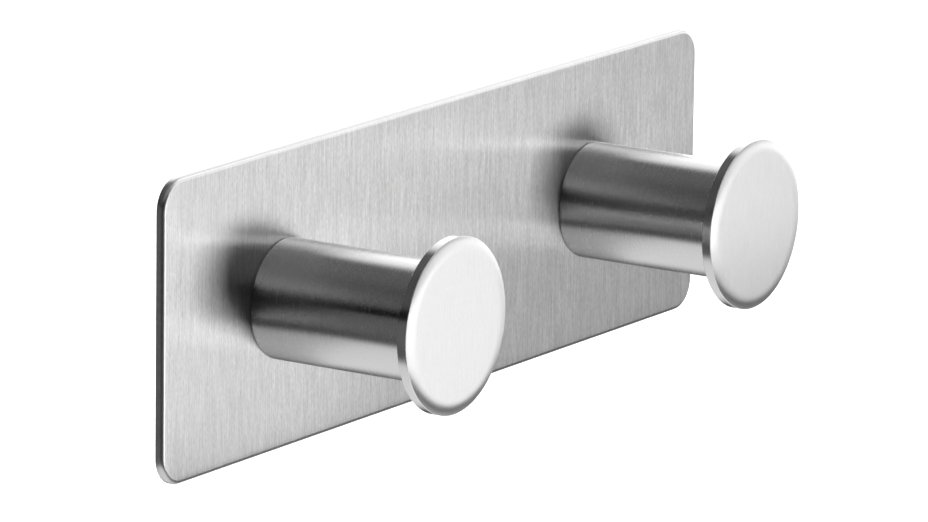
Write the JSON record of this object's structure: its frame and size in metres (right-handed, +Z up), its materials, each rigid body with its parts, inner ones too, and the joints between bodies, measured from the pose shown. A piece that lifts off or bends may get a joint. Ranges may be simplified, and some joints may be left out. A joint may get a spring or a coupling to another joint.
{
  "type": "wall hook rack",
  "caption": "Flat brushed steel back plate with round pegs that end in wider disc heads, stuck to a wall with foam pads, for hanging towels and coats.",
  "frame": {"origin": "centre of the wall face, the plane where the backs of the adhesive pads meet the wall", "axes": "+X right along the plate, +Y into the wall, +Z up"},
  "size_m": [0.16, 0.0361, 0.05],
  "materials": {
    "plate_steel": "linear brushed, vertical",
    "peg_steel": "turned satin, circumferential",
    "head_steel": "linear brushed face, turned rim",
    "plug_steel": "as turned",
    "screw_steel": "bright zinc plated",
    "foam_pad": "matt grey closed-cell acrylic foam, tacky face"
  },
  "bodies": {
    "root": {"back_plate": "plate_steel", "left_peg_tube": "peg_steel", "left_disc_head": "head_steel", "left_base_plug": "plug_steel", "left_fixing_screw": "screw_steel", "right_peg_tube": "peg_steel", "right_disc_head": "head_steel", "right_base_plug": "plug_steel", "right_fixing_screw": "screw_steel", "left_adhesive_pad": "foam_pad", "centre_adhesive_pad": "foam_pad", "right_adhesive_pad": "foam_pad"}
  },
  "joints": []
}
